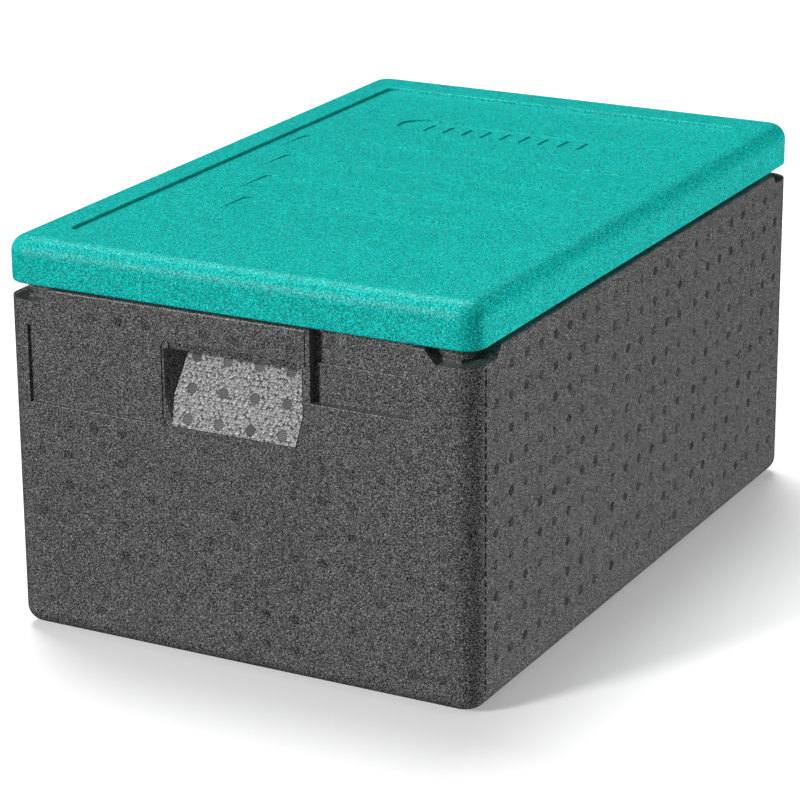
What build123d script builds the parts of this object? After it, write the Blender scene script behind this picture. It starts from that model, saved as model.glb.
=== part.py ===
from build123d import *
import os
from math import tan, radians

# Insulated food carrier: a top-loading box of expanded bead foam for one full-size food pan.
# Two mouldings, the body and its lift-off lid. Millimetres.
# X runs across the short ends, Y along the box and Z up. The origin is the middle of the underside.
# Both short ends are alike: one is the other turned half a turn about Z.

os.makedirs("parts", exist_ok=True)

# The whole box
outer_width = 400.0
outer_length = 600.0
outer_height = 316.0
wall = 31.0
corner_radius = 18.0
base_edge_radius = 13.0

# Lid and seam: the lid rests on the rim, so a shadow gap stays open under its skirt
lid_side_height = 35.0
lid_top_radius = 13.0
lid_lower_radius = 2.0
shadow_gap = 1.5
side_shadow_gap = 3.2
shoulder_radius = 1.5
lid_bottom = outer_height - lid_side_height
shoulder_top = lid_bottom - shadow_gap
side_shoulder_top = lid_bottom - side_shadow_gap

# Rim of the body, inside the lid's skirt
rim_inset = 13.0
rim_top = 292.0
rim_corner = 10.0
rim_chamfer = 1.5
rim_width = outer_width - 2 * rim_inset
rim_length = outer_length - 2 * rim_inset
skirt_gap = 0.6

# Pan space
floor_top = 28.0
mouth_width = outer_width - 2 * wall
mouth_length = outer_length - 2 * wall
mouth_corner = 20.0
cavity_draft = 0.4
cavity_floor_radius = 10.0
cavity_inset = (rim_top - floor_top) * tan(radians(cavity_draft))

# Plug under the lid
plug_gap = 0.8
plug_drop = 7.0
plug_chamfer = 2.0

# Every edge that faces up and out of a recess is rounded off by this much
edge_radius = 0.8

# Recessed panel in the top of the lid, between raised borders
panel_depth = 2.6
panel_width = 334.0
panel_length = 518.0
panel_corner = 8.0
panel_top = outer_height - panel_depth

# Stacking foot under the floor, which enters the panel of the lid below
foot_height = panel_depth
foot_gap = 2.0
foot_chamfer = 1.0

# Four shallow wedges across the panel, each flush at its front and deepest at its back edge
terrace_count = 4
terrace_depth = 1.1
terrace_run = 50.0
terrace_corner = 6.0
terrace_pitch = 64.0
terrace_widening = 18.5
first_terrace_back = -109.0
first_terrace_half_width = 99.0

# Blank badge near the back of the lid, with a row of plain bars in it
badge_length = 204.0
badge_width = 42.0
badge_depth = 1.4
badge_y = 155.0
bar_count = 9
bar_pitch = 18.0
bar_width = 6.0
bar_length = 22.0
bar_corner = 2.0
bar_depth = 1.2

# Hand pocket: its slope starts at the lip and is deepest under the grip edge
lip_height = 188.0
knee_height = 211.0
grip_height = 248.0
pocket_grip_width = 120.0
pocket_lip_width = 106.0
pocket_depth = 21.0
pocket_side_inset = 12.5
pocket_rise = grip_height - lip_height
frame_width = 123.0
frame_top = 254.5
frame_corner = 6.0
frame_depth = 1.0
grip_bevel_depth = 2.6

# Label recess, left of the pocket
label_left = -180.0
label_right = -73.0
label_top = 250.0
label_depth = 2.6

# Open bay, right of the pocket, which runs up under the lid and is deeper above its step
bay_left = 65.0
bay_right = 149.0
bay_bottom = 224.0
bay_depth = 8.0
bay_border = 4.0
bay_border_depth = 0.8
bay_step = 253.5
bay_upper_depth = 10.0

# Finger notches under the lid's corners
notch_floor = 269.0
notch_reach = 33.0
notch_end_slope = 40.0

# Low ledges at the foot of the rim in the notches of the ends
foothold_length = 18.0
foothold_middle = 174.0
foothold_depth = 3.0
foothold_height = 2.5

# The front end's face, seen from outside, and the planes of the hand pocket in it
end_face = Plane(origin=(0, -outer_length / 2, 0), x_dir=(1, 0, 0), z_dir=(0, -1, 0))
pocket_slope = Plane(
    origin=(0, -outer_length / 2, lip_height),
    x_dir=(1, 0, 0),
    z_dir=(0, -pocket_rise, pocket_depth),
)


def upright_rectangle(left, right, low, high):
    """Adds a rectangle to a sketch on the end face, from its edges."""
    with Locations(((left + right) / 2, (low + high) / 2)):
        Rectangle(right - left, high - low)


def pocket_outline(inset):
    """Corners of the pocket's outline on the end face, narrower by inset at each side."""
    grip_half = pocket_grip_width / 2 - inset
    lip_half = pocket_lip_width / 2 - inset
    return [
        (-grip_half, grip_height),
        (-grip_half, knee_height),
        (-lip_half, lip_height),
        (lip_half, lip_height),
        (grip_half, knee_height),
        (grip_half, grip_height),
    ]


def edges_near(part, axis, across, z):
    """The edges of a part that run along X or Y, at that z and that place on the other axis."""

    def is_near(edge):
        middle = edge.center()
        found = middle.Y * axis.direction.X + middle.X * axis.direction.Y
        return abs(found - across) < 0.01 and abs(middle.Z - z) < 0.01

    return part.edges().filter_by(axis).filter_by(is_near)


# Everything cut from the front end
with BuildPart() as pocket_cut:
    with BuildSketch(end_face):
        Polygon(*pocket_outline(0), align=None)
    with BuildSketch(end_face.offset(-pocket_depth)):
        Polygon(*pocket_outline(pocket_side_inset), align=None)
    loft(ruled=True)
    split(bisect_by=pocket_slope, keep=Keep.TOP)

with BuildPart() as end_cuts:
    add(pocket_cut.part)
    with BuildSketch(end_face) as frame_sketch:
        upright_rectangle(-frame_width / 2, frame_width / 2, lip_height, frame_top)
        fillet(frame_sketch.vertices().group_by(Axis.Z)[-1], frame_corner)
    extrude(amount=-frame_depth)
    # Bevel from the frame's top down to the grip edge
    with BuildSketch(Plane.YZ):
        Polygon(
            (-outer_length / 2, grip_height),
            (-outer_length / 2 + grip_bevel_depth, grip_height),
            (-outer_length / 2 + frame_depth, frame_top),
            (-outer_length / 2, frame_top),
            align=None,
        )
    extrude(amount=frame_width / 2 - frame_corner, both=True)
    with BuildSketch(end_face):
        upright_rectangle(label_left, label_right, lip_height, label_top)
    extrude(amount=-label_depth)
    with BuildSketch(end_face):
        upright_rectangle(bay_left - bay_border, bay_right, bay_bottom, rim_top)
    extrude(amount=-bay_border_depth)
    with BuildSketch(end_face):
        upright_rectangle(bay_left, bay_right, bay_bottom, rim_top)
    extrude(amount=-bay_depth)
    with BuildSketch(end_face):
        upright_rectangle(bay_left, bay_right, bay_step, rim_top)
    extrude(amount=-bay_upper_depth)

# The four notches: L-shaped ledges round the rim's corners, with sloping ends
with BuildPart() as notch_cuts:
    with BuildSketch(Plane.XY.offset(notch_floor)):
        with GridLocations(outer_width, outer_length, 2, 2):
            Rectangle(2 * notch_reach, 2 * notch_reach)
    extrude(amount=lid_bottom - notch_floor, taper=-notch_end_slope)
    with BuildSketch(Plane.XY.offset(notch_floor)):
        RectangleRounded(rim_width, rim_length, rim_corner)
    extrude(amount=lid_bottom - notch_floor, mode=Mode.SUBTRACT)
    with BuildSketch(Plane.XY.offset(notch_floor)):
        with GridLocations(2 * foothold_middle, rim_length, 2, 2):
            Rectangle(foothold_length, 2 * foothold_depth)
    extrude(amount=foothold_height, mode=Mode.SUBTRACT)

# The long sides' shoulders are lower than the ends', which leaves a taller shadow gap there
with BuildPart() as side_shoulder_cuts:
    with BuildSketch(Plane.XY.offset(side_shoulder_top)):
        with GridLocations(outer_width, 0, 2, 1):
            Rectangle(2 * rim_inset, rim_length - 2 * rim_corner)
    extrude(amount=side_shadow_gap)

with BuildPart() as body:
    # Outer block up to the shoulder
    with BuildSketch(Plane.XY.offset(foot_height)):
        RectangleRounded(outer_width, outer_length, corner_radius)
    extrude(amount=shoulder_top - foot_height)
    fillet(body.faces().sort_by(Axis.Z)[0].edges(), base_edge_radius)
    fillet(body.faces().sort_by(Axis.Z)[-1].edges(), shoulder_radius)
    # Stacking foot
    with BuildSketch():
        RectangleRounded(
            panel_width - 2 * foot_gap, panel_length - 2 * foot_gap, panel_corner - foot_gap
        )
    extrude(amount=foot_height)
    chamfer(body.faces().sort_by(Axis.Z)[0].edges(), foot_chamfer)
    # Rim
    with BuildSketch(Plane.XY.offset(notch_floor)):
        RectangleRounded(rim_width, rim_length, rim_corner)
    extrude(amount=rim_top - notch_floor)
    chamfer(body.faces().sort_by(Axis.Z)[-1].edges(), rim_chamfer)
    # Pan space, which opens upwards
    with BuildSketch(Plane.XY.offset(floor_top)):
        RectangleRounded(
            mouth_width - 2 * cavity_inset,
            mouth_length - 2 * cavity_inset,
            mouth_corner - cavity_inset,
        )
    extrude(amount=rim_top - floor_top, taper=-cavity_draft, mode=Mode.SUBTRACT)
    cavity_floor = body.faces().filter_by(Axis.Z).filter_by_position(Axis.Z, floor_top - 1, floor_top + 1)
    fillet(cavity_floor.edges(), cavity_floor_radius)
    # Notches and the two ends
    add(side_shoulder_cuts.part, mode=Mode.SUBTRACT)
    fillet(edges_near(body, Axis.Y, outer_width / 2, side_shoulder_top), shoulder_radius)
    fillet(edges_near(body, Axis.Y, -outer_width / 2, side_shoulder_top), shoulder_radius)
    add(notch_cuts.part, mode=Mode.SUBTRACT)
    with Locations(Location((0, 0, 0)), Location((0, 0, 0), (0, 0, 180))):
        add(end_cuts.part, mode=Mode.SUBTRACT)
    # Rounded lower edges of the label recesses and the bays, and of the steps in the bays
    for face_y in (-outer_length / 2, outer_length / 2):
        for edge in edges_near(body, Axis.X, face_y, lip_height):
            if abs(edge.center().X) > frame_width / 2:
                fillet(edge, edge_radius)
        fillet(edges_near(body, Axis.X, face_y, bay_bottom).sort_by(SortBy.LENGTH)[-1], edge_radius)
        step_y = face_y * (1 - 2 * bay_depth / outer_length)
        fillet(edges_near(body, Axis.X, step_y, bay_step), edge_radius)

body.part.label = "body"
export_step(body.part, "parts/body.step")

with BuildPart() as terraces:
    for step in range(terrace_count):
        back = first_terrace_back + step * terrace_pitch
        half_width = first_terrace_half_width + step * terrace_widening
        with BuildPart(mode=Mode.PRIVATE) as wedge:
            with BuildSketch(Plane.YZ):
                Polygon(
                    (back - terrace_run, panel_top),
                    (back, panel_top),
                    (back, panel_top - terrace_depth),
                    align=None,
                )
            extrude(amount=half_width, both=True)
            back_edges = wedge.edges().filter_by(Axis.Z)
            fillet(back_edges, terrace_corner)
        add(wedge.part)

with BuildPart() as lid:
    # Outer block
    with BuildSketch(Plane.XY.offset(lid_bottom)):
        RectangleRounded(outer_width, outer_length, corner_radius)
    extrude(amount=lid_side_height)
    fillet(lid.faces().sort_by(Axis.Z)[-1].edges(), lid_top_radius)
    fillet(lid.faces().sort_by(Axis.Z)[0].edges(), lid_lower_radius)
    # Hollow inside the skirt, for the rim
    with BuildSketch(Plane.XY.offset(lid_bottom)):
        RectangleRounded(
            rim_width + 2 * skirt_gap, rim_length + 2 * skirt_gap, rim_corner + skirt_gap
        )
    extrude(amount=rim_top - lid_bottom, mode=Mode.SUBTRACT)
    # Plug that enters the mouth
    with BuildSketch(Plane.XY.offset(rim_top)):
        RectangleRounded(
            mouth_width - 2 * plug_gap, mouth_length - 2 * plug_gap, mouth_corner - plug_gap
        )
    extrude(amount=-plug_drop)
    plug_bottom = lid.faces().filter_by(Axis.Z).filter_by_position(
        Axis.Z, rim_top - plug_drop - 1, rim_top - plug_drop + 1
    )
    chamfer(plug_bottom.edges(), plug_chamfer)
    # Recessed panel
    with BuildSketch(Plane.XY.offset(outer_height)):
        RectangleRounded(panel_width, panel_length, panel_corner)
    extrude(amount=-panel_depth, mode=Mode.SUBTRACT)
    panel_rim = lid.faces().sort_by(Axis.Z)[-1].inner_wires()[0]
    fillet(panel_rim.edges(), edge_radius)
    # Wedges
    add(terraces.part, mode=Mode.SUBTRACT)
    # Blank badge and its bars
    with BuildSketch(Plane.XY.offset(panel_top)):
        with Locations((0, badge_y)):
            SlotOverall(badge_length, badge_width)
    extrude(amount=-badge_depth, mode=Mode.SUBTRACT)
    with BuildSketch(Plane.XY.offset(panel_top - badge_depth)):
        with Locations((0, badge_y)):
            with GridLocations(bar_pitch, 0, bar_count, 1):
                RectangleRounded(bar_width, bar_length, bar_corner)
    extrude(amount=-bar_depth, mode=Mode.SUBTRACT)

lid.part.label = "lid"
export_step(lid.part, "parts/lid.step")
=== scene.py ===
import math
import random

import bmesh
import bpy
from bpy.props import FloatProperty, FloatVectorProperty, IntProperty, PointerProperty
from bpy.types import Operator, Panel, PropertyGroup
from mathutils import Matrix, Quaternion, Vector


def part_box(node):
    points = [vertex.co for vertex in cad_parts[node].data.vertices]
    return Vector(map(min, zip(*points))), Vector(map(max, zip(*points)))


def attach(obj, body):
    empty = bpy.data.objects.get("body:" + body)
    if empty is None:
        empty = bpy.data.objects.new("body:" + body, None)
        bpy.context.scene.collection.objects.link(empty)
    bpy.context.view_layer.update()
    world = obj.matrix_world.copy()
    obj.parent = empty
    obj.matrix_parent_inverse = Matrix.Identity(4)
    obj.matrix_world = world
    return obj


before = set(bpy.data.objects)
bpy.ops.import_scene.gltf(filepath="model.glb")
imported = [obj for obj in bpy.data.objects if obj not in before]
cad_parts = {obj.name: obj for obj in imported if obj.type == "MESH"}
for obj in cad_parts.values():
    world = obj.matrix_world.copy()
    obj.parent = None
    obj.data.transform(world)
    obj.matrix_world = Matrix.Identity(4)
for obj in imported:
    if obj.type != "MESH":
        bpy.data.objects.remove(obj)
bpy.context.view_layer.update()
BODY_HIGH = Vector(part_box("body")[1])

bl_info = {
    "name": "Insulated food carrier",
    "version": (1, 0, 0),
    "blender": (4, 5, 0),
    "location": "3D View > Sidebar > Carrier",
    "description": "Finishes a bead-foam food carrier: foam grain, vent marks, pocket slopes and a studio",
    "category": "Object",
}

# The carrier's own sizes, as built in its CAD model, in metres
HALF_WIDTH = BODY_HIGH.x
HALF_LENGTH = BODY_HIGH.y
LIP_HEIGHT = 0.188
KNEE_HEIGHT = 0.211
GRIP_HEIGHT = 0.248
POCKET_DEPTH = 0.021
POCKET_LIP_HALF = 0.053
POCKET_GRIP_HALF = 0.060
POCKET_SIDE_INSET = 0.0125
CORNER_RADIUS = 0.018

# Turn of the grain's cells against the walls, in radians
GRAIN_TURN = (0.6, 0.45, 0.85)
# Size of the slow clouds of tone in the foam, and how far they leave the foam's colour
CLOUD_SIZE = 0.045
CLOUD_TONE = 0.04
# How far, as shares of a foam's contrast, beads, the gaps between them and the grain leave its colour
BEAD_TONE = 0.26
GAP_TONE = 0.3
GRAIN_LIGHT = 1.9
# Stretches of a texture's value over which its mark comes in
MIDDLE = (0.3, 0.7)
GRAIN_STRETCH = (0.43, 0.60)
GLINT_STRETCH = (0.61, 0.72)
GAP_STRETCH = (0.0, 0.10)
DOME_STRETCH = (0.0, 0.35)
PIT_STRETCH = (0.09, 0.17)
CROWN_STRETCH = (0.1, 0.9)
PATCH_START = 0.62
PATCH_END = 0.70
PIT_DEPTH = 0.75

# Places of the vent marks, in metres across a wall and up it
SIDE_ROWS = 10
LOWEST_SIDE_ROW = 0.038
# A long side's tool is made of three blocks of vents, and these are the middle block's columns on one half
MIDDLE_BLOCK = (0.0126, 0.0378, 0.0630)
OUTER_BLOCK_START = 0.0956
OUTER_BLOCK_COLUMNS = 8
LOWEST_END_ROW = 0.0275
LOW_END_ROWS = 7
TOP_END_ROW = 0.2635
END_COLUMNS = 15
# Left, right, low and high edges of what is cut into an end: hand pocket, label recess, bay and finger notches
END_CUTS = (
    (-0.061, 0.061, LIP_HEIGHT, 0.254),
    (-0.180, -0.073, LIP_HEIGHT, 0.250),
    (0.061, 0.149, 0.224, 0.290),
    (0.155, 0.200, 0.262, 0.290),
    (-0.200, -0.155, 0.262, 0.290),
)
# Room that a mark on an end keeps from a cut, as a share of its diameter
CUT_CLEARANCE = 0.6
SLOPE_VENT_COLUMNS = (-0.0405, -0.0135, 0.0135, 0.0405)
# Heights of a slope's vent marks, as shares of the slope's run
SLOPE_VENT_ROWS = (0.11, 0.48, 0.855)

# A mark's disc narrows towards its top, and its lines stop short of its edge, as shares of its radius
DISC_TAPER = 0.96
RIB_REACH = 0.93
# Half of a line's width, and the room beside the outer lines, as shares of the lines' pitch
RIB_HALF = 0.24
RIB_MARGIN = 0.6

# Least and most of a dash's length, of its width and of the gap after it, as shares of the usual ones
DASH_LENGTHS = (0.5, 1.3)
DASH_WIDTHS = (0.7, 1.2)
DASH_GAPS = (0.2, 1.0)

# A smooth bead's radius as a share of the pitch, how much of a half ball it is, and beads to each side of the middle
BEAD_RADIUS = 0.62
BEAD_ROUNDNESS = 0.98
BEAD_COLUMNS = 24
BEAD_SEED = 11
# Under a vent mark the smooth beads' skin dips by this share of a bead's height, with an even level of the beads'
# painted highlight
DIP = 0.25
DIP_TONE = 0.5
# Edges of the smooth beads' skin on a slope
SKIN_SIDE_GAP = 0.0003
SKIN_LOW_GAP = 0.0004
SKIN_RUN_GAP = 0.0012
SKIN_LIFT = 0.00008

# The camera's sensor in millimetres, how far the camera sees, and where the lights are drawn, in metres
SENSOR_WIDTH = 36
VIEW_REACH = 100
LIGHT_DISTANCE = 3


class CarrierStudioSettings(PropertyGroup):
    """Camera, lights and floor."""

    view_azimuth: FloatProperty(
        name="View azimuth", description="Camera's turn about the carrier, from its front end",
        default=math.radians(28.1), subtype="ANGLE", unit="ROTATION",
    )
    view_elevation: FloatProperty(
        name="View elevation", description="Camera's angle above the horizon",
        default=math.radians(18.92), subtype="ANGLE", unit="ROTATION",
    )
    view_roll: FloatProperty(
        name="View roll", description="Camera's turn about its own line of sight",
        default=math.radians(-0.4), subtype="ANGLE", unit="ROTATION",
    )
    view_distance: FloatProperty(
        name="View distance", description="From the camera to the point it looks at",
        default=2.6, subtype="DISTANCE", unit="LENGTH",
    )
    view_aim: FloatVectorProperty(
        name="View aim", description="Point the camera looks at",
        default=(-0.0169, -0.0078, 0.1249), subtype="TRANSLATION", unit="LENGTH",
    )
    lens: FloatProperty(
        name="Lens", description="Focal length on a 36 mm sensor, in millimetres", default=142.2, min=10.0,
    )
    key_light: FloatProperty(
        name="Key light", description="Strength of the light from the upper left of the front",
        default=2.85, min=0.0,
    )
    key_azimuth: FloatProperty(
        name="Key azimuth", description="Where the key light comes from, turned from the front end",
        default=math.radians(-30), subtype="ANGLE", unit="ROTATION",
    )
    key_elevation: FloatProperty(
        name="Key elevation", description="Height of the key light over the horizon",
        default=math.radians(20), subtype="ANGLE", unit="ROTATION",
    )
    key_width: FloatProperty(
        name="Key width", description="Width of the key light as seen from the carrier",
        default=math.radians(12), subtype="ANGLE", unit="ROTATION",
    )
    top_light: FloatProperty(
        name="Top light", description="Strength of the broad light from above and behind",
        default=2.4, min=0.0,
    )
    top_azimuth: FloatProperty(
        name="Top azimuth", description="Where the top light comes from, turned from the front end",
        default=math.radians(-141), subtype="ANGLE", unit="ROTATION",
    )
    top_elevation: FloatProperty(
        name="Top elevation", description="Height of the top light over the horizon",
        default=math.radians(66), subtype="ANGLE", unit="ROTATION",
    )
    side_light: FloatProperty(
        name="Side light", description="Strength of the light that the floor would throw up from the right",
        default=4.3, min=0.0,
    )
    side_azimuth: FloatProperty(
        name="Side azimuth", description="Where the side light comes from, turned from the front end",
        default=math.radians(136), subtype="ANGLE", unit="ROTATION",
    )
    side_elevation: FloatProperty(
        name="Side elevation", description="Height of the side light over the horizon, negative from below",
        default=math.radians(-25), subtype="ANGLE", unit="ROTATION",
    )
    sheen_light: FloatProperty(
        name="Sheen light", description="Strength of the light that shows only as sheen on the long side",
        default=0.05, min=0.0,
    )
    sheen_azimuth: FloatProperty(
        name="Sheen azimuth", description="Where the sheen light comes from, turned from the front end",
        default=math.radians(152), subtype="ANGLE", unit="ROTATION",
    )
    sheen_elevation: FloatProperty(
        name="Sheen elevation", description="Height of the sheen light over the horizon, negative from below",
        default=math.radians(-19), subtype="ANGLE", unit="ROTATION",
    )
    broad_width: FloatProperty(
        name="Broad width", description="Width of the broad lights as seen from the carrier",
        default=math.radians(30), subtype="ANGLE", unit="ROTATION",
    )
    room_light: FloatProperty(
        name="Room light", description="Strength of the plain light all round", default=0.25, min=0.0,
    )
    floor_colour: FloatVectorProperty(
        name="Floor colour", description="Colour of the plain floor", default=(0.86, 0.86, 0.86),
        subtype="COLOR", min=0.0, max=1.0,
    )
    floor_lift: FloatProperty(
        name="Floor lift", description="Light added to the floor, which keeps its shadows pale",
        default=0.25, min=0.0,
    )
    floor_drop: FloatProperty(
        name="Floor drop", description="How far the floor lies below the carrier's foot",
        default=0.0003, subtype="DISTANCE", unit="LENGTH",
    )
    floor_half: FloatProperty(
        name="Floor half side", description="Half the side of the square floor",
        default=60.0, subtype="DISTANCE", unit="LENGTH",
    )


class CarrierFoamSettings(PropertyGroup):
    """Colours and grain of the bead foam."""

    body_colour: FloatVectorProperty(
        name="Body colour", description="Colour of the body's foam", default=(0.071, 0.071, 0.0715),
        subtype="COLOR", min=0.0, max=1.0,
    )
    lid_colour: FloatVectorProperty(
        name="Lid colour", description="Colour of the lid's foam", default=(0.0, 0.405, 0.362),
        subtype="COLOR", min=0.0, max=1.0,
    )
    # Painted sheen: the slopes are the body's foam, but their beads get over twice its colour to stand for the key
    # light's sheen on them
    slope_lit_colour: FloatVectorProperty(
        name="Slope colour", description="Colour of the smooth beads in the hand pockets",
        default=(0.16, 0.16, 0.1615), subtype="COLOR", min=0.0, max=1.0,
    )
    bead_size: FloatProperty(
        name="Bead size", description="Width of one foam bead", default=0.0030,
        subtype="DISTANCE", unit="LENGTH",
    )
    grain_size: FloatProperty(
        name="Grain size", description="Width of the tool's fine grain", default=0.00115,
        subtype="DISTANCE", unit="LENGTH",
    )
    bead_relief: FloatProperty(
        name="Bead relief", description="Depth between beads on the walls", default=0.00018,
        subtype="DISTANCE", unit="LENGTH",
    )
    pit_spacing: FloatProperty(
        name="Pit spacing", description="Distance between the small open pits of a pitted patch",
        default=0.0048, subtype="DISTANCE", unit="LENGTH",
    )
    roughness: FloatProperty(
        name="Roughness", description="Roughness of the foam's skin", default=0.29, min=0.0, max=1.0,
        subtype="FACTOR",
    )


class CarrierVentSettings(PropertyGroup):
    """Round marks that the mould's steam vents leave."""

    diameter: FloatProperty(
        name="Diameter", description="Width of one vent mark", default=0.0076,
        subtype="DISTANCE", unit="LENGTH",
    )
    pitch: FloatProperty(
        name="Pitch", description="Distance between vent marks", default=0.0246,
        subtype="DISTANCE", unit="LENGTH",
    )
    rib_count: IntProperty(name="Ribs", description="Raised lines across one vent mark", default=5, min=1)
    disc_rise: FloatProperty(
        name="Disc rise", description="Height of a mark's disc over the wall", default=0.00006,
        subtype="DISTANCE", unit="LENGTH",
    )
    rib_rise: FloatProperty(
        name="Rib rise", description="Height of a mark's lines over the wall", default=0.00028,
        subtype="DISTANCE", unit="LENGTH",
    )
    sides: IntProperty(name="Sides", description="Sides of a mark's outline", default=18, min=8)
    # Painted shade: the disc between a mark's lines is darkened by this tone, for the shadow in its slots
    painted_slot_shade: FloatProperty(
        name="Slot tone", description="Tone of a mark between its lines",
        default=0.6, min=0.0, subtype="FACTOR",
    )
    # The lines keep this lighter tone against the painted shade between them
    rib_tone: FloatProperty(
        name="Rib tone", description="Tone of a mark's lines", default=1.45, min=0.0, subtype="FACTOR",
    )
    tone_spread: FloatProperty(
        name="Tone spread", description="How much lighter or darker one mark is than another",
        default=0.38, min=0.0, max=1.0, subtype="FACTOR",
    )


class CarrierLineSettings(PropertyGroup):
    """Broken parting lines of the mould."""

    parting_turn: FloatProperty(
        name="Turn", description="How far round its corner a parting line stands, from the long side",
        default=math.radians(8), subtype="ANGLE", unit="ROTATION",
    )
    parting_low: FloatProperty(
        name="Low end", description="Height where the lines begin", default=0.018,
        subtype="DISTANCE", unit="LENGTH",
    )
    parting_high: FloatProperty(
        name="High end", description="Height where the lines end", default=0.2665,
        subtype="DISTANCE", unit="LENGTH",
    )
    dash_length: FloatProperty(
        name="Dash length", description="Usual length of one dash", default=0.0045,
        subtype="DISTANCE", unit="LENGTH",
    )
    dash_width: FloatProperty(
        name="Dash width", description="Width of a dash", default=0.0018, subtype="DISTANCE", unit="LENGTH",
    )
    dash_rise: FloatProperty(
        name="Dash rise", description="Height of a dash over the wall", default=0.00006,
        subtype="DISTANCE", unit="LENGTH",
    )


class CarrierSlopeSettings(PropertyGroup):
    """Smooth beads on the slopes of the hand pockets."""

    bead_pitch: FloatProperty(
        name="Bead pitch", description="Distance between beads", default=0.00235,
        subtype="DISTANCE", unit="LENGTH",
    )
    bead_height: FloatProperty(
        name="Bead height", description="Rise of a bead over the gaps between beads", default=0.00080,
        subtype="DISTANCE", unit="LENGTH",
    )
    step: FloatProperty(
        name="Step", description="Distance between the mesh's points", default=0.00042,
        subtype="DISTANCE", unit="LENGTH",
    )
    scatter: FloatProperty(
        name="Scatter", description="How far a bead leaves its even place, as a share of the pitch",
        default=0.17, min=0.0, max=0.5, subtype="FACTOR",
    )


# Shaders


def new_material(name):
    """A material, its node tree and its shader."""
    material = bpy.data.materials.new(name)
    material.use_nodes = True
    tree = material.node_tree
    return material, tree, tree.nodes["Principled BSDF"]


def object_position(tree):
    """The point in the piece's own frame, turned so that no flat wall lies along the grain's cells."""
    turned = tree.nodes.new("ShaderNodeMapping")
    turned.inputs["Rotation"].default_value = GRAIN_TURN
    tree.links.new(tree.nodes.new("ShaderNodeTexCoord").outputs["Object"], turned.inputs["Vector"])
    return turned.outputs["Vector"]


def voronoi(tree, position, size, feature="F1"):
    cells = tree.nodes.new("ShaderNodeTexVoronoi")
    cells.feature = feature
    cells.inputs["Scale"].default_value = 1 / size
    tree.links.new(position, cells.inputs["Vector"])
    return cells


def noise(tree, position, size, detail=2.0, roughness=0.5):
    cloud = tree.nodes.new("ShaderNodeTexNoise")
    cloud.inputs["Scale"].default_value = 1 / size
    cloud.inputs["Detail"].default_value = detail
    cloud.inputs["Roughness"].default_value = roughness
    tree.links.new(position, cloud.inputs["Vector"])
    return cloud.outputs["Fac"]


def span(tree, value, low, high, to_low, to_high):
    """Maps a value from one range to another, and holds it there."""
    node = tree.nodes.new("ShaderNodeMapRange")
    for name, number in (("From Min", low), ("From Max", high), ("To Min", to_low), ("To Max", to_high)):
        node.inputs[name].default_value = number
    tree.links.new(value, node.inputs["Value"])
    return node.outputs["Result"]


def maths(tree, operation, first, second):
    node = tree.nodes.new("ShaderNodeMath")
    node.operation = operation
    for socket, value in zip(node.inputs, (first, second)):
        if isinstance(value, (int, float)):
            socket.default_value = value
        else:
            tree.links.new(value, socket)
    return node.outputs["Value"]


def multiplied(tree, first, *others):
    """All the values multiplied together."""
    for other in others:
        first = maths(tree, "MULTIPLY", first, other)
    return first


def shade(tree, colour, factor):
    """One colour made lighter or darker by a factor."""
    node = tree.nodes.new("ShaderNodeVectorMath")
    node.operation = "SCALE"
    node.inputs[0].default_value = colour
    tree.links.new(factor, node.inputs["Scale"])
    return node.outputs["Vector"]


def lighten(tree, colour, amount):
    """A colour with an amount of white added."""
    node = tree.nodes.new("ShaderNodeVectorMath")
    node.operation = "ADD"
    tree.links.new(colour, node.inputs[0])
    tree.links.new(amount, node.inputs[1])
    return node.outputs["Vector"]


def relief(tree, height, depth, strength=1.0, over=None):
    """Turns a height from 0 to 1 into relief of that depth."""
    bump = tree.nodes.new("ShaderNodeBump")
    bump.inputs["Strength"].default_value = strength
    bump.inputs["Distance"].default_value = depth
    tree.links.new(height, bump.inputs["Height"])
    if over is not None:
        tree.links.new(over, bump.inputs["Normal"])
    return bump.outputs["Normal"]


def attribute(tree, name):
    """A value that a piece's mesh carries."""
    node = tree.nodes.new("ShaderNodeAttribute")
    node.attribute_name = name
    return node.outputs["Fac"]


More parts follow.
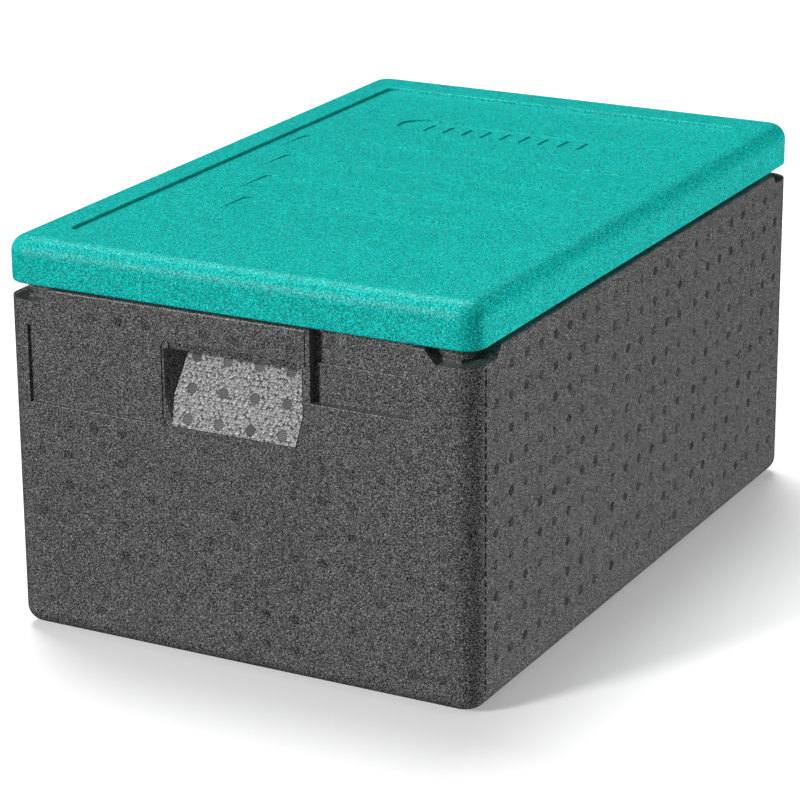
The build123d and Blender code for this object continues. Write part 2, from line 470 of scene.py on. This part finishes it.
def foam_material(name, colour, foam, specular, contrast, pitted, glint, toned=False):
    """Moulded bead foam: fine grain and painted glints, small light spots, over beads of slightly different tone,
    and small open pits.

    Contrast is how far the grain and the beads leave the colour, pitted how much of the foam has open pits, and
    glint how light the painted glints are. A toned foam takes a further factor from the mesh, one for each mark,
    which holds the mark's own tone and the painted shade between its lines.
    """
    material, tree, shader = new_material(name)
    position = object_position(tree)
    beads = voronoi(tree, position, foam.bead_size)
    gaps = voronoi(tree, position, foam.bead_size, "DISTANCE_TO_EDGE").outputs["Distance"]
    grain = noise(tree, position, foam.grain_size, 2.0, 0.7)
    clouds = noise(tree, position, CLOUD_SIZE, 3.0, 0.55)
    pits = voronoi(tree, position, foam.pit_spacing).outputs["Distance"]
    bead_tone = tree.nodes.new("ShaderNodeSeparateColor")
    tree.links.new(beads.outputs["Color"], bead_tone.inputs["Color"])
    beads_by_tone = span(
        tree, bead_tone.outputs["Red"], 0, 1, 1 - contrast * BEAD_TONE, 1 + contrast * BEAD_TONE,
    )
    gap_shade = span(tree, gaps, *GAP_STRETCH, 1 - contrast * GAP_TONE, 1.0)
    grain_shade = span(tree, grain, *GRAIN_STRETCH, 1 - contrast, 1 + GRAIN_LIGHT * contrast)
    cloud_shade = span(tree, clouds, *MIDDLE, 1 - CLOUD_TONE, 1 + CLOUD_TONE)
    open_pit = span(tree, pits, *PIT_STRETCH, 1.0, 0.0)
    patch = span(tree, clouds, PATCH_START - pitted, PATCH_END - pitted, 0.0, PIT_DEPTH)
    pit_shade = maths(tree, "SUBTRACT", 1.0, maths(tree, "MULTIPLY", open_pit, patch))
    shades = [gap_shade, grain_shade, cloud_shade, pit_shade]
    if toned:
        shades.append(attribute(tree, "tone"))
    factor = multiplied(tree, beads_by_tone, *shades)
    # Painted glints: sparse spots of white added to the colour, standing for the skin's glints of light
    painted_glints = span(tree, noise(tree, position, foam.grain_size * 0.9, 1.0), *GLINT_STRETCH, 0.0, glint)
    tree.links.new(lighten(tree, shade(tree, colour, factor), painted_glints), shader.inputs["Base Color"])
    rough = span(tree, grain, *MIDDLE, foam.roughness + 0.06, foam.roughness - 0.06)
    tree.links.new(rough, shader.inputs["Roughness"])
    domes = span(tree, gaps, *DOME_STRETCH, 0.0, 1.0)
    over = relief(tree, domes, foam.bead_relief * 0.5, 0.8)
    tree.links.new(relief(tree, grain, foam.bead_relief * 2.2, 1.0, over), shader.inputs["Normal"])
    shader.inputs["Specular IOR Level"].default_value = specular
    return material


def smooth_bead_material(name, colour, foam):
    """Untextured beads with a soft gloss: painted highlights on their crowns, and painted shade in the gaps where
    the mesh dips.
    """
    material, tree, shader = new_material(name)
    position = object_position(tree)
    grain = noise(tree, position, foam.grain_size, 2.0, 0.6)
    # Painted highlight and shade: the colour runs from dark in the gaps to light on each bead's crown
    painted_bead_light = span(tree, attribute(tree, "crown"), *CROWN_STRETCH, 0.10, 1.6)
    factor = multiplied(tree, painted_bead_light, span(tree, grain, *MIDDLE, 0.82, 1.18))
    tree.links.new(shade(tree, colour, factor), shader.inputs["Base Color"])
    tree.links.new(span(tree, grain, *MIDDLE, 0.26, 0.34), shader.inputs["Roughness"])
    tree.links.new(relief(tree, grain, foam.bead_relief * 0.4, 0.7), shader.inputs["Normal"])
    shader.inputs["Specular IOR Level"].default_value = 0.5
    return material


def vent_material(name, colour, foam, toned=False):
    """Plain skin of the foam where a vent or a joint of the mould touched it."""
    material, tree, shader = new_material(name)
    grain = noise(tree, object_position(tree), foam.grain_size * 0.7, 2.0, 0.6)
    factor = span(tree, grain, *MIDDLE, 0.80, 1.2)
    if toned:
        factor = multiplied(tree, factor, attribute(tree, "tone"))
    tree.links.new(shade(tree, colour, factor), shader.inputs["Base Color"])
    tree.links.new(span(tree, grain, *MIDDLE, 0.55, 0.7), shader.inputs["Roughness"])
    tree.links.new(relief(tree, grain, foam.bead_relief, 0.6), shader.inputs["Normal"])
    shader.inputs["Specular IOR Level"].default_value = 0.15
    return material


def body_tone(foam, factor):
    """The body's colour made lighter or darker by a factor."""
    return [channel * factor for channel in foam.body_colour]


def body_foam(foam):
    return foam_material(
        "charcoal_foam", foam.body_colour, foam, specular=0.5, contrast=0.78, pitted=0.09, glint=0.28,
    )


def lid_foam(foam):
    return foam_material(
        "green_foam", foam.lid_colour, foam, specular=0.14, contrast=0.40, pitted=0.14, glint=0.12,
    )


def slope_beads(foam):
    return smooth_bead_material("slope_beads", foam.slope_lit_colour, foam)


def end_vent(foam):
    # Painted shade: the end marks are darkened to 0.88 of the body's colour, for the shadow in their slots
    return foam_material(
        "end_vent", body_tone(foam, 0.88), foam,
        specular=0.45, contrast=0.9, pitted=0.09, glint=0.10, toned=True,
    )


def side_vent(foam):
    # Painted shade: the side marks are darkened to 0.72 of the body's colour, for the shadow in their slots
    return foam_material(
        "side_vent", body_tone(foam, 0.72), foam,
        specular=0.40, contrast=0.9, pitted=0.09, glint=0.05, toned=True,
    )


def seam_foam(foam):
    return vent_material("seam_foam", body_tone(foam, 0.15), foam)


def slope_vent(foam):
    # Painted sheen: the slope's marks take 1.5 times the body's colour, for the key light's sheen on the slope
    return vent_material("slope_vent", body_tone(foam, 1.5), foam, toned=True)


# Meshes


def add_piece(name, mesh_data, body, material):
    """Puts a bmesh in the scene as a piece that rides on a body."""
    mesh = bpy.data.meshes.new(name)
    mesh_data.normal_update()
    mesh_data.to_mesh(mesh)
    mesh_data.free()
    piece = bpy.data.objects.new(name, mesh)
    bpy.context.scene.collection.objects.link(piece)
    mesh.materials.append(material)
    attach(piece, body)
    return piece


def wall_plane(origin, across, up):
    """Places points of a wall, across and up it, with the third axis out of the wall."""
    across, up = Vector(across).normalized(), Vector(up).normalized()
    out = across.cross(up)
    return Matrix.Translation(origin) @ Matrix((across, up, out)).transposed().to_4x4()


def add_vent(mesh, place, vents, tone):
    """One vent mark: a low disc with raised lines across it, in a tone of its own, with painted shade on the disc
    between the lines.
    """
    faces = []
    radius = vents.diameter / 2
    angles = [math.tau * k / vents.sides for k in range(vents.sides)]
    low, high = [], []
    for angle in angles:
        x, y = radius * math.cos(angle), radius * math.sin(angle)
        low.append(mesh.verts.new(place @ Vector((x, y, 0))))
        high.append(mesh.verts.new(place @ Vector((x * DISC_TAPER, y * DISC_TAPER, vents.disc_rise))))
    faces.append(mesh.faces.new(high))
    for k in range(vents.sides):
        n = (k + 1) % vents.sides
        faces.append(mesh.faces.new((low[k], low[n], high[n], high[k])))
    pitch = vents.diameter / (vents.rib_count + RIB_MARGIN)
    half = pitch * RIB_HALF
    for k in range(vents.rib_count):
        y = (k - (vents.rib_count - 1) / 2) * pitch
        reach = math.sqrt(max(0.0, (radius * RIB_REACH) ** 2 - (abs(y) + half) ** 2))
        base = [(-reach, y - half), (reach, y - half), (reach, y + half), (-reach, y + half)]
        foot = [mesh.verts.new(place @ Vector((a, b, vents.disc_rise * 0.5))) for a, b in base]
        top = [mesh.verts.new(place @ Vector((a, b, vents.rib_rise))) for a, b in base]
        faces.append(mesh.faces.new(top))
        for a in range(4):
            b = (a + 1) % 4
            faces.append(mesh.faces.new((foot[a], foot[b], top[b], top[a])))
    layer = mesh.faces.layers.float["tone"]
    # The disc's own faces come first, and those of its lines after them
    for number, face in enumerate(faces):
        # The disc takes the painted slot shade, the lines their lighter tone
        face[layer] = tone * (vents.painted_slot_shade if number <= vents.sides else vents.rib_tone)


def vent_field(name, plane, places, body, material, vents):
    """A piece that holds the vent marks at those places of one wall."""
    mesh = bmesh.new()
    mesh.faces.layers.float.new("tone")
    tones = random.Random(name)
    for across, up in places:
        tone = 1 + tones.uniform(-1, 1) * vents.tone_spread
        add_vent(mesh, plane @ Matrix.Translation((across, up, 0)), vents, tone)
    return add_piece(name, mesh, body, material)


def corner_plane(side, end, turn):
    """The upright plane that touches a rounded corner of the body, turned so far from the long side."""
    out = Vector((side * math.cos(turn), end * math.sin(turn), 0))
    centre = Vector((side * (HALF_WIDTH - CORNER_RADIUS), end * (HALF_LENGTH - CORNER_RADIUS), 0))
    up = Vector((0, 0, 1))
    return wall_plane(centre + out * CORNER_RADIUS, up.cross(out), up)


def add_dash(mesh, plane, half, low, high, rise):
    """A low four-sided sliver on a wall."""
    corners = ((-half, low), (half, low), (half, high), (-half, high))
    foot = [mesh.verts.new(plane @ Vector((a, b, 0))) for a, b in corners]
    top = [mesh.verts.new(plane @ Vector((a, b, rise))) for a, b in corners]
    mesh.faces.new(top)
    for a in range(4):
        b = (a + 1) % 4
        mesh.faces.new((foot[a], foot[b], top[b], top[a]))


def evenly(count, pitch):
    """That many places on both sides of the middle."""
    return [(k - (count - 1) / 2) * pitch for k in range(count)]


def outside(places, rectangles, clearance):
    """The places that keep that clearance from every rectangle (left, right, low, high)."""
    kept = []
    for across, up in places:
        if not any(
            left - clearance < across < right + clearance and low - clearance < up < high + clearance
            for left, right, low, high in rectangles
        ):
            kept.append((across, up))
    return kept


def direction(azimuth, elevation):
    """The way towards something so far round from the front end and so high over the horizon."""
    level = math.cos(elevation)
    return Vector((math.sin(azimuth) * level, -math.cos(azimuth) * level, math.sin(elevation)))


class CARRIER_OT_stage(Operator):
    """Makes the camera, the lights and the floor"""

    bl_idname = "carrier.stage"
    bl_label = "Stage"

    def execute(self, context):
        studio = context.scene.carrier_studio
        self.add_camera(context, studio)
        self.add_light(studio, "key", studio.key_width)
        self.add_light(studio, "top", studio.broad_width)
        # These two stand for the light and the gloss off the floor, and pass through it
        side = self.add_light(studio, "side", studio.broad_width)
        side.visible_glossy = False
        sheen = self.add_light(studio, "sheen", studio.broad_width)
        sheen.visible_diffuse = False
        world = bpy.data.worlds.new("room")
        context.scene.world = world
        world.use_nodes = True
        background = world.node_tree.nodes["Background"]
        background.inputs["Color"].default_value = (1, 1, 1, 1)
        background.inputs["Strength"].default_value = studio.room_light
        world.cycles_visibility.glossy = False
        context.scene.view_settings.view_transform = "Standard"
        self.add_floor(context, studio)
        return {"FINISHED"}

    def add_camera(self, context, studio):
        camera = bpy.data.objects.new("camera", bpy.data.cameras.new("camera"))
        context.scene.collection.objects.link(camera)
        back = direction(studio.view_azimuth, studio.view_elevation)
        camera.location = Vector(studio.view_aim) + back * studio.view_distance
        camera.rotation_mode = "QUATERNION"
        roll = Quaternion((0, 0, 1), studio.view_roll)
        camera.rotation_quaternion = (-back).to_track_quat("-Z", "Y") @ roll
        camera.data.sensor_width = SENSOR_WIDTH
        camera.data.lens = studio.lens
        camera.data.clip_end = VIEW_REACH
        context.scene.camera = camera

    def add_light(self, studio, name, width):
        """A distant light with the strength and the direction that the settings hold under its name."""
        data = bpy.data.lights.new(f"{name}_light", "SUN")
        data.energy = getattr(studio, f"{name}_light")
        data.angle = width
        light = bpy.data.objects.new(data.name, data)
        bpy.context.scene.collection.objects.link(light)
        towards = direction(getattr(studio, f"{name}_azimuth"), getattr(studio, f"{name}_elevation"))
        light.location = towards * LIGHT_DISTANCE
        light.rotation_mode = "QUATERNION"
        light.rotation_quaternion = towards.to_track_quat("Z", "Y")
        return light

    def add_floor(self, context, studio):
        mesh = bmesh.new()
        bmesh.ops.create_grid(mesh, x_segments=1, y_segments=1, size=studio.floor_half)
        data = bpy.data.meshes.new("floor")
        mesh.to_mesh(data)
        mesh.free()
        floor = bpy.data.objects.new("floor", data)
        context.scene.collection.objects.link(floor)
        material, tree, shader = new_material("floor")
        shader.inputs["Base Color"].default_value = (*studio.floor_colour, 1)
        shader.inputs["Roughness"].default_value = 0.8
        shader.inputs["Emission Color"].default_value = (1, 1, 1, 1)
        shader.inputs["Emission Strength"].default_value = studio.floor_lift
        data.materials.append(material)
        # Below the foot, so that the two never share a plane
        floor.location.z = -studio.floor_drop
        floor.visible_shadow = False
        floor.visible_diffuse = False
        floor.visible_glossy = False


class CARRIER_OT_foam(Operator):
    """Gives the two mouldings their foam"""

    bl_idname = "carrier.foam"
    bl_label = "Foam"

    def execute(self, context):
        foam = context.scene.carrier_foam
        for node, material in (("body", body_foam(foam)), ("lid", lid_foam(foam))):
            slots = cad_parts[node].material_slots
            if not slots:
                raise RuntimeError(f"{node} has no material slot")
            for slot in slots:
                slot.material = material
        return {"FINISHED"}


class CARRIER_OT_wall_vents(Operator):
    """Adds the vent marks of the long sides and of the two ends"""

    bl_idname = "carrier.wall_vents"
    bl_label = "Wall vents"

    def execute(self, context):
        vents, foam = context.scene.carrier_vents, context.scene.carrier_foam
        material = side_vent(foam)
        for name, sign in (("side_vents_right", 1), ("side_vents_left", -1)):
            plane = wall_plane((sign * HALF_WIDTH, 0, 0), (0, sign, 0), (0, 0, 1))
            vent_field(name, plane, self.side_places(vents.pitch), "body", material, vents)
        places = outside(self.end_places(vents.pitch), END_CUTS, vents.diameter * CUT_CLEARANCE)
        material = end_vent(foam)
        for name, sign in (("end_vents_front", -1), ("end_vents_back", 1)):
            plane = wall_plane((0, sign * HALF_LENGTH, 0), (-sign, 0, 0), (0, 0, 1))
            vent_field(name, plane, places, "body", material, vents)
        return {"FINISHED"}

    def side_places(self, pitch):
        rows = [LOWEST_SIDE_ROW + k * pitch for k in range(SIDE_ROWS)]
        half_row = list(MIDDLE_BLOCK) + [OUTER_BLOCK_START + k * pitch for k in range(OUTER_BLOCK_COLUMNS)]
        columns = [-y for y in reversed(half_row)] + half_row
        return [(across, up) for across in columns for up in rows]

    def end_places(self, pitch):
        rows = [LOWEST_END_ROW + k * pitch for k in range(LOW_END_ROWS)] + [TOP_END_ROW]
        return [(across, up) for across in evenly(END_COLUMNS, pitch) for up in rows]


class CARRIER_OT_parting_lines(Operator):
    """Adds the broken lines that the mould's corner blocks leave down the long sides"""

    bl_idname = "carrier.parting_lines"
    bl_label = "Parting lines"

    def execute(self, context):
        lines = context.scene.carrier_lines
        material = seam_foam(context.scene.carrier_foam)
        for name, sign in (("parting_lines_right", 1), ("parting_lines_left", -1)):
            mesh = bmesh.new()
            seeds = random.Random(name)
            for end in (-1, 1):
                plane = corner_plane(sign, end, lines.parting_turn)
                up = lines.parting_low
                while up < lines.parting_high:
                    length = seeds.uniform(*DASH_LENGTHS) * lines.dash_length
                    half = lines.dash_width / 2 * seeds.uniform(*DASH_WIDTHS)
                    add_dash(mesh, plane, half, up, min(up + length, lines.parting_high), lines.dash_rise)
                    up += length + seeds.uniform(*DASH_GAPS) * lines.dash_length
            add_piece(name, mesh, "body", material)
        return {"FINISHED"}


class CARRIER_OT_pocket_slopes(Operator):
    """Adds the smooth beads and the vent marks on the slope of each hand pocket"""

    bl_idname = "carrier.pocket_slopes"
    bl_label = "Pocket slopes"

    def execute(self, context):
        slope, vents = context.scene.carrier_slope, context.scene.carrier_vents
        foam = context.scene.carrier_foam
        bead_skin, vent_skin = slope_beads(foam), slope_vent(foam)
        rise = GRIP_HEIGHT - LIP_HEIGHT
        run = math.hypot(rise, POCKET_DEPTH)
        places = [(x, up * run) for x in SLOPE_VENT_COLUMNS for up in SLOPE_VENT_ROWS]
        for name, sign in (("front", -1), ("back", 1)):
            origin = Vector((0, sign * HALF_LENGTH, LIP_HEIGHT))
            up = Vector((0, -sign * POCKET_DEPTH, rise))
            plane = wall_plane(origin, (-sign, 0, 0), up)
            mesh = self.bead_field(run, slope, places, vents.diameter / 2)
            mesh.transform(plane)
            piece = add_piece(f"slope_beads_{name}", mesh, "body", bead_skin)
            for polygon in piece.data.polygons:
                polygon.use_smooth = True
            vent_field(f"slope_vents_{name}", plane, places, "body", vent_skin, vents)
        return {"FINISHED"}

    def bead_field(self, run, slope, vents, vent_radius):
        """A skin of domes packed side by side, as wide as the slope at each height."""
        seeds = random.Random(BEAD_SEED)
        pitch = slope.bead_pitch
        row_pitch = pitch * math.sqrt(3) / 2
        beads = {}
        for row in range(-2, int(run / row_pitch) + 3):
            for column in range(-BEAD_COLUMNS, BEAD_COLUMNS + 1):
                x = (column + (row % 2) / 2) * pitch + seeds.uniform(-1, 1) * slope.scatter * pitch
                y = row * row_pitch + seeds.uniform(-1, 1) * slope.scatter * pitch
                beads.setdefault((round(x / pitch), round(y / pitch)), []).append((x, y))

        def height(x, y):
            """Rise of the skin and the share of a bead's crown there, which sets the beads' painted highlight and
            shade; the skin dips under the vent marks.
            """
            if any(math.hypot(x - a, y - b) < vent_radius for a, b in vents):
                return -DIP * slope.bead_height, DIP_TONE
            i, j = round(x / pitch), round(y / pitch)
            nearest = min(
                (math.hypot(x - a, y - b) for di in (-1, 0, 1) for dj in (-1, 0, 1)
                 for a, b in beads.get((i + di, j + dj), ())),
                default=pitch,
            )
            share = min(1.0, nearest / (BEAD_RADIUS * pitch))
            return slope.bead_height * math.sqrt(1 - share * share * BEAD_ROUNDNESS), 1 - share * share

        mesh = bmesh.new()
        # Crown share of each point, which the shader turns into painted highlight on crowns and painted shade in
        # gaps
        crown = mesh.verts.layers.float.new("crown")
        rows = int(run / slope.step)
        columns = int(2 * POCKET_LIP_HALF / slope.step)
        grid = []
        for r in range(rows + 1):
            up = r / rows
            opening = min(1.0, up * (GRIP_HEIGHT - LIP_HEIGHT) / (KNEE_HEIGHT - LIP_HEIGHT))
            mouth_half = POCKET_LIP_HALF + (POCKET_GRIP_HALF - POCKET_LIP_HALF) * opening
            half = mouth_half - POCKET_SIDE_INSET * up - SKIN_SIDE_GAP
            line = []
            for c in range(columns + 1):
                x = (2 * c / columns - 1) * half
                y = SKIN_LOW_GAP + up * (run - SKIN_RUN_GAP)
                rise, light = height(x, y)
                point = mesh.verts.new((x, y, SKIN_LIFT + rise))
                point[crown] = light
                line.append(point)
            grid.append(line)
        for low, high in zip(grid, grid[1:]):
            for k in range(columns):
                mesh.faces.new((low[k], low[k + 1], high[k + 1], high[k]))
        return mesh


class CARRIER_PT_sidebar(Panel):
    """Lists the carrier's operators"""

    bl_idname = "CARRIER_PT_sidebar"
    bl_label = "Food carrier"
    bl_space_type = "VIEW_3D"
    bl_region_type = "UI"
    bl_category = "Carrier"

    def draw(self, context):
        for operator in OPERATORS:
            self.layout.operator(operator.bl_idname)


SETTINGS = {
    "carrier_studio": CarrierStudioSettings,
    "carrier_foam": CarrierFoamSettings,
    "carrier_vents": CarrierVentSettings,
    "carrier_lines": CarrierLineSettings,
    "carrier_slope": CarrierSlopeSettings,
}
OPERATORS = (
    CARRIER_OT_stage,
    CARRIER_OT_foam,
    CARRIER_OT_wall_vents,
    CARRIER_OT_parting_lines,
    CARRIER_OT_pocket_slopes,
)
CLASSES = (*SETTINGS.values(), *OPERATORS, CARRIER_PT_sidebar)


def register():
    for cls in CLASSES:
        bpy.utils.register_class(cls)
    for name, cls in SETTINGS.items():
        setattr(bpy.types.Scene, name, PointerProperty(type=cls))


def unregister():
    for name in SETTINGS:
        delattr(bpy.types.Scene, name)
    for cls in reversed(CLASSES):
        bpy.utils.unregister_class(cls)


def main():
    register()
    bpy.ops.carrier.stage()
    bpy.ops.carrier.foam()
    bpy.ops.carrier.wall_vents()
    bpy.ops.carrier.parting_lines()
    bpy.ops.carrier.pocket_slopes()
    bpy.context.view_layer.update()


if __name__ == "__main__":
    main()
